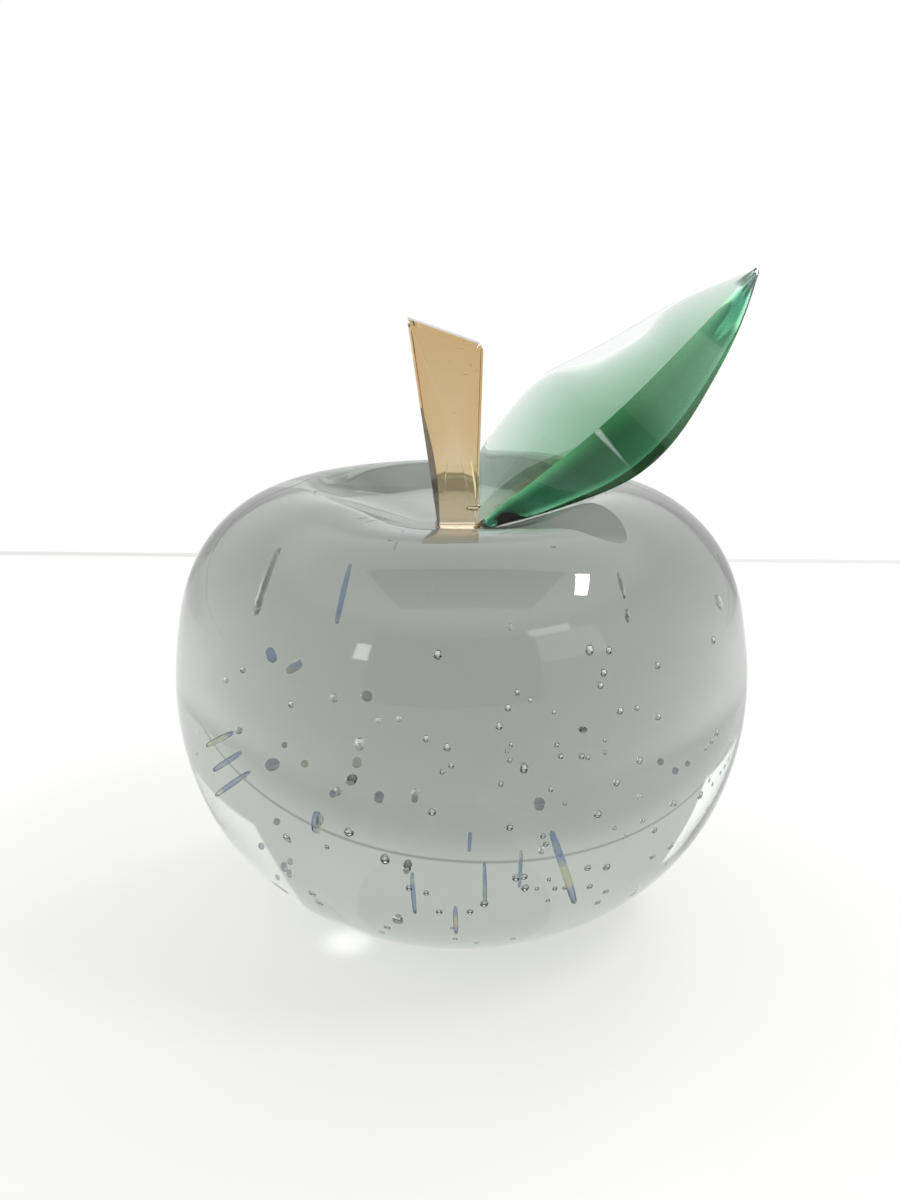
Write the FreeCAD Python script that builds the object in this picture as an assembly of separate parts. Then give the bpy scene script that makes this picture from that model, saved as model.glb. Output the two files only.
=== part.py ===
import FreeCAD, Part
import math
import os
from FreeCAD import Vector

# Art glass apple: a solid clear glass body with an amber glass stem and a green glass leaf, glued
# into its dimple with clear adhesive. All lengths are in millimetres.
# Origin: middle of the flat the apple stands on. Z is up, X runs towards the leaf's tip, and
# the leaf's ridge and the stem's front face look along -Y.

# Body: a ball round the equator, drawn in to a ground flat below and to the dimple's crest above
body_radius = 50.0
equator_height = 42.0
crest_height = 76.0
crest_radius = 26.5
base_flat_radius = 22.0
base_bevel = 0.4
haunch_degrees = 20

# Dimple in the top of the body: a rounded lip, a straight wall and a flat ground for the stem
dimple_depth = 7.0
dimple_lip_round = 8.0
dimple_foot_round = 6.9
dimple_seat_radius = 5.5

# Stem, a ground bar with bevelled edges and a slanting top
stem_foot_width = 6.8
stem_foot_depth = 6.0
stem_top_width = 12.6
stem_top_depth = 7.4
stem_foot_offset = -0.6
stem_top_offset = -2.6
stem_high_length = 34.7
stem_low_length = 30.4
stem_edge_bevel = 0.5
stem_back_bevel = 1.4
stem_corner_round = 1.4
stem_facet_width = 1.6
stem_facet_length = 25.7

# Leaf, a slab with a flat back that lies back from upright, and a ridge along its front.
# Stations run from the foot to the tip, across is measured up and down the flat back.
leaf_foot_inset = 0.5
leaf_foot_sink = 0.75
leaf_reach = 46.2
leaf_rise = 43.35
leaf_front = 1.0
leaf_lean_degrees = 60
leaf_upper_width = 19.0
leaf_lower_width = 18.0
leaf_ridge_height = 5.6
leaf_ridge_share = 0.56
leaf_edge_thickness = 0.6
leaf_tip_size = 0.4
leaf_ridge_least = 0.8
leaf_station_shares = [-0.06, 0.05, 0.16, 0.28, 0.40, 0.54, 0.70, 0.86, 1.0]
leaf_upper_shares = [0.34, 0.59, 0.81, 0.95, 0.99, 0.79, 0.57, 0.34, 0.0]
leaf_lower_shares = [0.02, 0.15, 0.43, 0.70, 0.91, 0.93, 0.71, 0.39, 0.0]

# Adhesive
bond_thickness = 0.3
bond_fillet = 0.5

# Heights from the dimple's flat seat: the stem's foot on its film of adhesive, its corners and facet
seat_height = crest_height - dimple_depth
stem_foot_height = seat_height + bond_thickness
stem_high_corner = stem_foot_height + stem_high_length
stem_low_corner = stem_foot_height + stem_low_length
stem_facet_start = stem_foot_height + stem_facet_length

# Ends of the leaf's ridge line: its foot starts under the stem's right side
leaf_foot_x = stem_foot_offset + stem_foot_width / 2 - leaf_foot_inset
leaf_foot_height = seat_height - leaf_foot_sink
leaf_tip_x = leaf_foot_x + leaf_reach
leaf_tip_height = leaf_foot_height + leaf_rise

# Overrun of every cut, and a full turn in degrees
overrun = 5.0
full_turn = 360


def arc_from(start, way, end):
    """Arc from a start point with its direction there to an end point."""
    chord = end - start
    half = way.getAngle(chord) / 2
    square = (way - chord * (way.dot(chord) / chord.dot(chord))).normalize()
    middle = (start + end) / 2 + square * (chord.Length / 2 * math.tan(half))
    return Part.Arc(start, middle, end).toShape()


def flank():
    """Lower half of the outline: part of a ball about the equator, then an arc in to the base."""
    turn = math.radians(haunch_degrees)
    side = Vector(body_radius, 0, equator_height)
    base = Vector(base_flat_radius, 0, base_bevel)
    ball_end = Vector(body_radius * math.cos(turn), 0, equator_height - body_radius * math.sin(turn))
    ball_end_way = Vector(-math.sin(turn), 0, -math.cos(turn))
    return [arc_from(side, Vector(0, 0, -1), ball_end), arc_from(ball_end, ball_end_way, base)]


def two_arcs(start, start_way, end, end_way):
    """Two tangent arcs between two points with given directions, meeting midway of their tangents."""
    chord = end - start
    ways = start_way + end_way
    square = 2 * (1 - start_way.dot(end_way))
    half = chord.dot(ways)
    tangent = (math.sqrt(half ** 2 + square * chord.dot(chord)) - half) / square
    meet = (start + start_way * tangent + end - end_way * tangent) / 2
    meet_way = (end - end_way * tangent - start - start_way * tangent).normalize()
    return [arc_from(start, start_way, meet), arc_from(meet, meet_way, end)]


def shoulder():
    """Upper half of the outline: upright at the equator, level at the crest."""
    side = Vector(body_radius, 0, equator_height)
    crest = Vector(crest_radius, 0, crest_height)
    return two_arcs(side, Vector(0, 0, 1), crest, Vector(-1, 0, 0))


def dimple():
    """Outline of the dimple from the crest in to the flat seat: lip, straight wall, round."""
    crest = Vector(crest_radius, 0, crest_height)
    seat = Vector(dimple_seat_radius, 0, seat_height)
    lip_centre = crest - Vector(0, 0, dimple_lip_round)
    foot_centre = seat + Vector(0, 0, dimple_foot_round)
    across = foot_centre - lip_centre
    rounds = dimple_lip_round + dimple_foot_round
    slope = math.asin(rounds / across.Length) - math.atan2(across.z, -across.x)
    normal = Vector(-math.sin(slope), 0, math.cos(slope))
    wall_way = Vector(-math.cos(slope), 0, -math.sin(slope))
    wall_top = lip_centre + normal * dimple_lip_round
    wall_foot = foot_centre - normal * dimple_foot_round
    return [
        arc_from(crest, Vector(-1, 0, 0), wall_top),
        Part.LineSegment(wall_top, wall_foot).toShape(),
        arc_from(wall_foot, wall_way, seat),
    ]


def body_outside():
    """The apple's outer form, turned about its axis."""
    centre = Vector(0, 0, 0)
    flat_end = Vector(base_flat_radius - base_bevel, 0, 0)
    bevel_end = Vector(base_flat_radius, 0, base_bevel)
    seat = Vector(dimple_seat_radius, 0, seat_height)
    seat_middle = Vector(0, 0, seat_height)
    edges = [
        Part.LineSegment(centre, flat_end).toShape(),
        Part.LineSegment(flat_end, bevel_end).toShape(),
    ]
    edges += flank() + shoulder() + dimple()
    edges.append(Part.LineSegment(seat, seat_middle).toShape())
    edges.append(Part.LineSegment(seat_middle, centre).toShape())
    wire = Part.Wire(Part.__sortEdges__(edges))
    return Part.Face(wire).revolve(centre, Vector(0, 0, 1), full_turn)


def stem_share(height):
    """How far up the stem a height lies, 0 at its foot and 1 at its highest corner."""
    return (height - stem_foot_height) / (stem_high_corner - stem_foot_height)


def stem_side(height, side):
    """Place along X of the stem's left (-1) or right (1) side at a height."""
    share = stem_share(height)
    middle = stem_foot_offset + (stem_top_offset - stem_foot_offset) * share
    width = stem_foot_width + (stem_top_width - stem_foot_width) * share
    return middle + side * width / 2


def stem_face(height, side):
    """Place along Y of the stem's front (-1) or back (1) face at a height."""
    depth = stem_foot_depth + (stem_top_depth - stem_foot_depth) * stem_share(height)
    return side * depth / 2


def stem_section(height, grow):
    """Outline of the stem at a height: bevelled corners, with a wider bevel at the right back."""
    left = stem_side(height, -1) - grow
    right = stem_side(height, 1) + grow
    front = stem_face(height, -1) - grow
    back = stem_face(height, 1) + grow
    along_x = Vector(1, 0, 0)
    along_y = Vector(0, 1, 0)
    corners = [
        (Vector(left, front, height), along_y, along_x, stem_edge_bevel),
        (Vector(right, front, height), -along_x, along_y, stem_edge_bevel),
        (Vector(right, back, height), -along_y, -along_x, stem_back_bevel),
        (Vector(left, back, height), along_x, -along_y, stem_edge_bevel),
    ]
    points = []
    for corner, from_way, to_way, bevel in corners:
        points.append(corner + from_way * bevel)
        points.append(corner + to_way * bevel)
    return Part.makePolygon(points + points[:1])


def stem_bar(grow):
    """The stem's tapered bar before its top is cut, grown at its sides by a clearance."""
    low = stem_section(stem_foot_height, grow)
    high = stem_section(stem_high_corner + overrun, grow)
    return Part.makeLoft([low, high], True, True)


def below_top_cut():
    """Block under the stem's slanting top, rounded where the low corner is worn."""
    left = Vector(stem_side(stem_high_corner, -1), 0, stem_high_corner)
    corner = Vector(stem_side(stem_low_corner, 1), 0, stem_low_corner)
    foot = Vector(stem_side(stem_foot_height, 1), 0, stem_foot_height)
    slant = (corner - left).normalize()
    down = (foot - corner).normalize()
    tangent = stem_corner_round * math.tan(slant.getAngle(down) / 2)
    inwards = Vector(slant.z, 0, -slant.x)
    arc_start = corner - slant * tangent
    arc_end = corner + down * tangent
    centre = arc_start + inwards * stem_corner_round
    arc_middle = centre + (corner - centre).normalize() * stem_corner_round
    far_left = left - slant * overrun
    low_left = Vector(far_left.x, 0, 0)
    low_right = Vector(corner.x + overrun, 0, 0)
    step_right = Vector(corner.x + overrun, 0, arc_end.z)
    edges = [
        Part.LineSegment(far_left, arc_start).toShape(),
        Part.Arc(arc_start, arc_middle, arc_end).toShape(),
        Part.LineSegment(arc_end, step_right).toShape(),
        Part.LineSegment(step_right, low_right).toShape(),
        Part.LineSegment(low_right, low_left).toShape(),
        Part.LineSegment(low_left, far_left).toShape(),
    ]
    face = Part.Face(Part.Wire(edges)).translated(Vector(0, -stem_top_width, 0))
    return face.extrude(Vector(0, 2 * stem_top_width, 0))


def facet_cutter():
    """Slab that grinds the facet on the stem's left front edge, wider towards the foot."""
    left = stem_side(stem_foot_height, -1)
    front = stem_face(stem_foot_height, -1)
    start = Vector(stem_side(stem_facet_start, -1), stem_face(stem_facet_start, -1), stem_facet_start)
    on_front = Vector(left + stem_facet_width, front, stem_foot_height)
    on_side = Vector(left, front + stem_facet_width, stem_foot_height)
    normal = (on_front - start).cross(on_side - start).normalize()
    if normal.x > 0:
        normal = -normal
    reach = stem_high_corner - stem_foot_height
    up = (start - (on_front + on_side) / 2).normalize()
    across = normal.cross(up)
    corners = [
        start + up * reach + across * reach,
        start + up * reach - across * reach,
        start - up * 2 * reach - across * reach,
        start - up * 2 * reach + across * reach,
    ]
    face = Part.Face(Part.makePolygon(corners + corners[:1]))
    return face.extrude(normal * overrun)


def stem():
    """Amber glass stem: tapered bar, slanting top with a worn low corner, one ground facet."""
    return stem_bar(0).common(below_top_cut()).cut(facet_cutter())


def leaf_point(station, across, height):
    """Point of the leaf from its share of the way to the tip, across its back and in front of it."""
    foot = Vector(leaf_foot_x, -leaf_front, leaf_foot_height)
    tip = Vector(leaf_tip_x, -leaf_front, leaf_tip_height)
    along = (tip - foot).normalize()
    lean = math.radians(leaf_lean_degrees)
    upright = Vector(-along.z, 0, along.x)
    up_back = upright * math.cos(lean) + Vector(0, math.sin(lean), 0)
    outwards = upright * math.sin(lean) - Vector(0, math.cos(lean), 0)
    return foot + (tip - foot) * station + up_back * across + outwards * height


def leaf_section(index):
    """Outline of the leaf's block at one station: upper edge, ridge, lower edge, spare behind."""
    station = leaf_station_shares[index]
    lower_share = leaf_lower_shares[index]
    upper = leaf_upper_width * leaf_upper_shares[index] + leaf_tip_size
    lower = leaf_lower_width * lower_share
    ridge_height = leaf_ridge_height * lower_share + leaf_ridge_least
    points = [
        leaf_point(station, upper, -overrun),
        leaf_point(station, upper, leaf_edge_thickness),
        leaf_point(station, -lower * leaf_ridge_share, ridge_height),
        leaf_point(station, -lower - leaf_tip_size, 0),
        leaf_point(station, -lower - leaf_tip_size, -overrun),
    ]
    return Part.makePolygon(points + points[:1])


def leaf_blank():
    """The leaf with its faces and flat back ground, before its end is fitted."""
    sections = [leaf_section(index) for index in range(len(leaf_station_shares))]
    below_share = leaf_station_shares[0] - 1
    beyond_share = leaf_station_shares[-1] + 1
    corners = [
        leaf_point(below_share, leaf_upper_width + overrun, 0),
        leaf_point(beyond_share, leaf_upper_width + overrun, 0),
        leaf_point(beyond_share, -leaf_lower_width - overrun, 0),
        leaf_point(below_share, -leaf_lower_width - overrun, 0),
    ]
    back = Part.Face(Part.makePolygon(corners + corners[:1]))
    depth = leaf_point(0, 0, leaf_ridge_height + leaf_ridge_least + overrun) - leaf_point(0, 0, 0)
    return Part.makeLoft(sections, True, False).common(back.extrude(depth))


def beside_stem(gap):
    """Block that takes away all of the leaf up to the stem's right side plus a gap."""
    foot = Vector(stem_side(stem_foot_height, 1) + gap, -body_radius, stem_foot_height)
    top = Vector(stem_side(stem_high_corner, 1) + gap, -body_radius, stem_high_corner)
    below = Vector(foot.x, -body_radius, equator_height)
    far_left = Vector(-body_radius, 0, 0)
    points = [
        below,
        foot,
        top,
        Vector(far_left.x, top.y, top.z),
        Vector(far_left.x, below.y, below.z),
    ]
    face = Part.Face(Part.makePolygon(points + points[:1]))
    return face.extrude(Vector(0, 2 * body_radius, 0))


def leaf(outside):
    """Green glass leaf with its end ground to the dimple's wall and the stem's side."""
    raised = outside.translated(Vector(0, 0, bond_thickness))
    return leaf_blank().cut(raised).cut(beside_stem(bond_thickness)).cut(stem_bond())


def stem_bond():
    """Adhesive film between the flat seat and the stem's foot, spread to a fillet at its edge."""
    low = stem_section(seat_height, bond_fillet)
    high = stem_section(stem_foot_height, 0)
    return Part.makeLoft([low, high], True, True)


def leaf_foot_bond(outside):
    """Adhesive film between the leaf's ground lower end and the dimple's wall."""
    raised = outside.translated(Vector(0, 0, bond_thickness))
    film = leaf_blank().common(raised).cut(outside)
    return film.cut(beside_stem(bond_thickness)).cut(stem_bond())


def leaf_side_bond():
    """Adhesive film between the leaf's ground end and the stem's right side."""
    film = beside_stem(bond_thickness).cut(beside_stem(0))
    return leaf_blank().common(film).common(stem_bar(bond_fillet)).cut(stem_bond())


def write(name, shape):
    """Write one piece as its own file, and print what it is made of."""
    print(name, len(shape.Solids), "solid", round(shape.Volume, 2), "mm3", shape.isValid())
    piece = shape.Solids[0] if len(shape.Solids) == 1 else Part.Compound(shape.Solids)
    piece.exportStep("parts/" + name + ".step")


os.makedirs("parts", exist_ok=True)
outside = body_outside()
pieces = {
    "apple_body": outside,
    "stem": stem(),
    "leaf": leaf(outside),
    "stem_bond": stem_bond(),
    "leaf_foot_bond": leaf_foot_bond(outside),
    "leaf_side_bond": leaf_side_bond(),
}
for name, shape in pieces.items():
    write(name, shape)
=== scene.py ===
# %% [markdown]
# Art glass apple
#
# A glass apple of the kind that lies on a desk as a paperweight. Four things make its look: a thick
# clear body that works as a lens, seed bubbles closed inside it, a stem of amber glass, and a ridged
# leaf of green glass. The imported model gives the place and size of every piece, and each visible
# piece is modelled again here with a denser skin, because glass shows every break in a surface.

# %% Load the imported model
import math

import bpy
import numpy as np
from mathutils import Matrix, Vector


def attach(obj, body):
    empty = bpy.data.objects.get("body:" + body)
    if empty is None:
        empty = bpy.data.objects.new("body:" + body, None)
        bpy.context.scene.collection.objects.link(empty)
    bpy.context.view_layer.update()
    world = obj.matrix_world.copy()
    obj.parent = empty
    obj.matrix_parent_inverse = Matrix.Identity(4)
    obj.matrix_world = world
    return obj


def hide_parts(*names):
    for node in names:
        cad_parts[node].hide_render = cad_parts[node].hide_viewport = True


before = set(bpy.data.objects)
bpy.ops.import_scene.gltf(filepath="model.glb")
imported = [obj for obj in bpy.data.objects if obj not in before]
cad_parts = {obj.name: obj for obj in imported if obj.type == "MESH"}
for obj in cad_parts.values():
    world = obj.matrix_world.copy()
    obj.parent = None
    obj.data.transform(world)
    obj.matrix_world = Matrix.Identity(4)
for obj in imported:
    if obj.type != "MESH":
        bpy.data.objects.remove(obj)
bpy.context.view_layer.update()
mm = 0.001

# %% [markdown]
# The camera
#
# A glass body bends what lies behind it, so the picture only matches when the camera stands where it
# really stood: 205 mm in front of the apple's axis and 113 mm above the table, looking down by 15.7
# degrees. The lens is as long as the frame is high, in the same unit.

# %% Camera
camera_place = np.array([-1.9, -204.5, 112.8]) * mm
camera_pitch = math.radians(15.69)
frame_width, frame_height = 900, 1200
focal_pixels = 1200.0
film_height = 24.0

camera_data = bpy.data.cameras.new("camera")
camera_data.sensor_fit = "VERTICAL"
camera_data.sensor_height = film_height
camera_data.lens = focal_pixels / frame_height * film_height
camera_data.clip_start = 1 * mm
camera = bpy.data.objects.new("camera", camera_data)
camera.location = camera_place
camera.rotation_euler = (math.pi / 2 - camera_pitch, 0, 0)
bpy.context.scene.collection.objects.link(camera)
bpy.context.scene.camera = camera
print("camera", [round(float(v / mm), 1) for v in camera_place], "mm")

# %% [markdown]
# From a grid of points to a mesh
#
# Every piece of glass here is a surface with two directions: along a profile and around it. numpy
# works out all its points at once as a grid of rows and columns, and the faces follow from the grid's
# indices. The ends of the grid are closed by a fan to one point, so that each piece is a closed solid,
# which the light needs in order to know when it enters the glass and when it leaves it.

# %% Grid helpers
def points_of(*parts):
    """Points from their coordinates, which may be grids, rows or single numbers."""
    return np.stack(np.broadcast_arrays(*parts), -1)


def full_turn(count):
    """Angles spread evenly over a full turn."""
    return np.linspace(0, 2 * math.pi, count, endpoint=False)


def around(radius, turn, height):
    """Points at a distance from the vertical axis, turned about it."""
    return points_of(radius * np.cos(turn), radius * np.sin(turn), height)


def unit(vectors):
    """Vectors divided by their lengths."""
    return vectors / np.linalg.norm(vectors, axis=-1, keepdims=True)


def risen(value, start, end):
    """Share of the way from start to end that a value has gone, between 0 and 1."""
    return np.clip((value - start) / (end - start), 0, 1)

# %% Faces of a grid, and closed shells
def tube_faces(rows, columns, start=0):
    """Quads of a grid whose columns run round and close: row by row, each quad's corners in turn."""
    row = np.arange(rows - 1)[:, None] * columns
    column = np.arange(columns)[None, :]
    after = (column + 1) % columns
    quads = points_of(row + column, row + after, row + columns + after, row + columns + column)
    return quads.reshape(-1, 4) + start


def fan_faces(ring, centre, turned):
    """Triangles that close a ring of points with its middle point."""
    after = np.roll(ring, -1)
    middle = np.full_like(ring, centre)
    return np.stack([after, ring, middle] if turned else [ring, after, middle], -1)


def closed_tube(grid, first, last):
    """Vertices, quads and triangles of a grid of rows and columns closed by a point at each end."""
    rows, columns = grid.shape[:2]
    count = rows * columns
    points = np.concatenate([grid.reshape(-1, 3), [first], [last]])
    ring = np.arange(columns)
    triangles = np.concatenate([
        fan_faces(ring, count, True),
        fan_faces(ring + count - columns, count + 1, False),
    ])
    return points, tube_faces(rows, columns), triangles


def join_shells(shells):
    """One set of vertices, quads and triangles from several."""
    points, quads, triangles, start = [], [], [], 0
    for p, q, t in shells:
        points.append(p)
        quads.append(q + start)
        triangles.append(t + start)
        start += len(p)
    return np.concatenate(points), np.concatenate(quads), np.concatenate(triangles)

# %% Objects from shells
def shell_volume(shell):
    """Volume by the divergence theorem: a sixth of the triple products of all triangles, summed."""
    points, quads, triangles = shell
    faces = np.concatenate([quads[:, [0, 1, 2]], quads[:, [0, 2, 3]], triangles])
    a, b, c = points[faces[:, 0]], points[faces[:, 1]], points[faces[:, 2]]
    return np.einsum("ij,ij->i", a, np.cross(b, c)).sum() / 6


def mesh_object(name, shell, sharp_degrees):
    """A smooth-shaded object from a shell, whose edges steeper than an angle stay sharp."""
    points, quads, triangles = shell
    mesh = bpy.data.meshes.new(name)
    mesh.from_pydata(points.tolist(), [], quads.tolist() + triangles.tolist())
    mesh.polygons.foreach_set("use_smooth", np.ones(len(mesh.polygons), bool))
    mesh.set_sharp_from_angle(angle=math.radians(sharp_degrees))
    mesh.validate()
    piece = bpy.data.objects.new(name, mesh)
    bpy.context.scene.collection.objects.link(piece)
    print(name, len(mesh.polygons), "faces, signed volume", round(shell_volume(shell) / mm ** 3, 1), "mm3")
    return piece

# %% [markdown]
# The body's outline
#
# The maker gathers the glass on an iron, blocks it to a ball, flattens the shoulder and presses the
# dimple with a tool. On cold glass the underside is then ground flat and polished. So the outline is a
# few arcs that run into each other. Arcs alone would show as bands in the lens, because their
# curvature jumps where they meet, and a moving average over a few millimetres eases it.

# %% Outline of the body
body_radius = 50.0 * mm
equator_height = 42.0 * mm
crest_height = 76.0 * mm
crest_radius = 26.5 * mm
base_flat_radius = 22.0 * mm
base_bevel = 0.4 * mm
haunch_turn = math.radians(20)
dimple_depth = 7.0 * mm
dimple_lip_round = 8.0 * mm
dimple_foot_round = 6.9 * mm
dimple_seat_radius = 5.5 * mm
seat_height = crest_height - dimple_depth


def arc_points(start, way, end, count):
    """Points on the arc that leaves start in a direction and reaches end: the chord turned evenly."""
    chord = end - start
    half = math.atan2(way[0] * chord[1] - way[1] * chord[0], way @ chord)
    share = np.linspace(0, 1, count)
    length = np.linalg.norm(chord) * np.sin(half * share) / math.sin(half)
    turn = math.atan2(way[1], way[0]) + half * share
    return start + length[:, None] * points_of(np.cos(turn), np.sin(turn))


def two_arcs(start, way, end, end_way, count):
    """Points on two tangent arcs that meet halfway between the ends of their equal tangents."""
    chord = end - start
    ways = way + end_way
    square = 2 * (1 - way @ end_way)
    half = chord @ ways
    tangent = (math.sqrt(half ** 2 + square * (chord @ chord)) - half) / square
    meet = (start + way * tangent + end - end_way * tangent) / 2
    meet_way = unit(end - end_way * tangent - start - way * tangent)
    return np.concatenate([arc_points(start, way, meet, count), arc_points(meet, meet_way, end, count)])

# %% The whole outline
def body_outline():
    """Radius and height from the edge of the ground flat, out over the equator, in to the seat."""
    side = np.array([body_radius, equator_height])
    crest = np.array([crest_radius, crest_height])
    base = np.array([base_flat_radius, base_bevel])
    seat = np.array([dimple_seat_radius, seat_height])
    ball_end = side + body_radius * np.array([math.cos(haunch_turn) - 1, -math.sin(haunch_turn)])
    ball_way = np.array([-math.sin(haunch_turn), -math.cos(haunch_turn)])
    haunch = np.concatenate([arc_points(side, np.array([0, -1.0]), ball_end, 200),
                             arc_points(ball_end, ball_way, base, 400)])[::-1]
    shoulder = two_arcs(side, np.array([0, 1.0]), crest, np.array([-1.0, 0]), 300)
    lip = crest - np.array([0, dimple_lip_round])
    foot = seat + np.array([0, dimple_foot_round])
    across = foot - lip
    slope = math.asin((dimple_lip_round + dimple_foot_round) / np.linalg.norm(across))
    slope -= math.atan2(across[1], -across[0])
    normal = np.array([-math.sin(slope), math.cos(slope)])
    wall_top, wall_foot = lip + normal * dimple_lip_round, foot - normal * dimple_foot_round
    dimple = np.concatenate([arc_points(crest, np.array([-1.0, 0]), wall_top, 100),
                             wall_top + np.linspace(0, 1, 100)[:, None] * (wall_foot - wall_top),
                             arc_points(wall_foot, np.array([-normal[1], normal[0]]), seat, 60)])
    return np.concatenate([haunch, shoulder, dimple])

# %% An even step and eased curvature
step_between, easing_window = 0.7 * mm, 4.0 * mm


def even_outline(line, step, window):
    """The line resampled at an even step, then eased by a moving average whose ends stay put."""
    length = np.concatenate([[0], np.cumsum(np.linalg.norm(np.diff(line, axis=0), axis=1))])
    keep = np.concatenate([[True], np.diff(length) > 0])
    line, length = line[keep], length[keep]
    places = np.linspace(0, length[-1], int(length[-1] / step))
    even = np.stack([np.interp(places, length, line[:, k]) for k in (0, 1)], -1)
    half = int(window / step / 2)
    padded = np.concatenate([2 * even[0] - even[half:0:-1], even, 2 * even[-1] - even[-2:-half - 2:-1]])
    kernel = np.hanning(2 * half + 3)[1:-1]
    kernel /= kernel.sum()
    return np.stack([np.convolve(padded[:, k], kernel, "valid") for k in (0, 1)], -1)


outline = even_outline(body_outline(), step_between, easing_window)
print("outline:", len(outline), "points, widest", round(outline[:, 0].max() / mm, 2), "mm")

# %% [markdown]
# Seed bubbles
#
# Seeds are gas bubbles of about a millimetre that stay in the melt. Inside glass a bubble is a hole
# in the solid, so it is part of the body's own mesh, a small ball whose faces look into the hole: the
# light then leaves the glass on one side of it and enters again on the other, which gives the bubble
# its dark rim. A bubble is a stretched ball, its half sizes times the sine and cosine of two angles.
# The ones that show singly are placed where they are seen: the line of sight is bent by Snell's law at
# the body's skin and followed inwards by a chosen depth. The rest are drawn at random.

# %% Where a line of sight goes inside the body
glass_ior = 1.5
sight_range, sight_steps = (100 * mm, 280 * mm), 3600
slope_step = 0.1 * mm


def sight_lines(pixels):
    """Unit directions from the camera through pixels of a 900 by 1200 frame, x right and y down."""
    x = (pixels[:, 0] - frame_width / 2) / focal_pixels
    y = (frame_height / 2 - pixels[:, 1]) / focal_pixels
    forward = np.array([0, math.cos(camera_pitch), -math.sin(camera_pitch)])
    up = np.array([0, math.sin(camera_pitch), math.cos(camera_pitch)])
    return unit(forward + x[:, None] * np.array([1, 0, 0]) + y[:, None] * up)


def skin_radius(height):
    """Radius of the outside of the body at a height, up to the crest."""
    top = int(np.argmax(outline[:, 1]))
    return np.interp(height, outline[:top, 1], outline[:top, 0])


def inside_place(pixels, depth):
    """Points at a depth inside the body along the refracted lines of sight through pixels."""
    lines = sight_lines(pixels)
    reach = np.linspace(*sight_range, sight_steps)
    path = camera_place + lines[:, None, :] * reach[None, :, None]
    within = np.hypot(path[..., 0], path[..., 1]) < skin_radius(path[..., 2])
    within &= (path[..., 2] > 0) & (path[..., 2] < crest_height)
    first = np.argmax(within, axis=1)
    met = path[np.arange(len(lines)), first]
    slope = (skin_radius(met[:, 2] + slope_step) - skin_radius(met[:, 2] - slope_step)) / (2 * slope_step)
    normal = unit(points_of(met[:, 0], met[:, 1], -slope * np.hypot(met[:, 0], met[:, 1])))
    facing = -np.einsum("ij,ij->i", lines, normal)
    inner = np.sqrt(1 - (1 - facing ** 2) / glass_ior ** 2)
    bent = lines / glass_ior + (facing / glass_ior - inner)[:, None] * normal
    return met + bent * depth[:, None]

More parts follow.
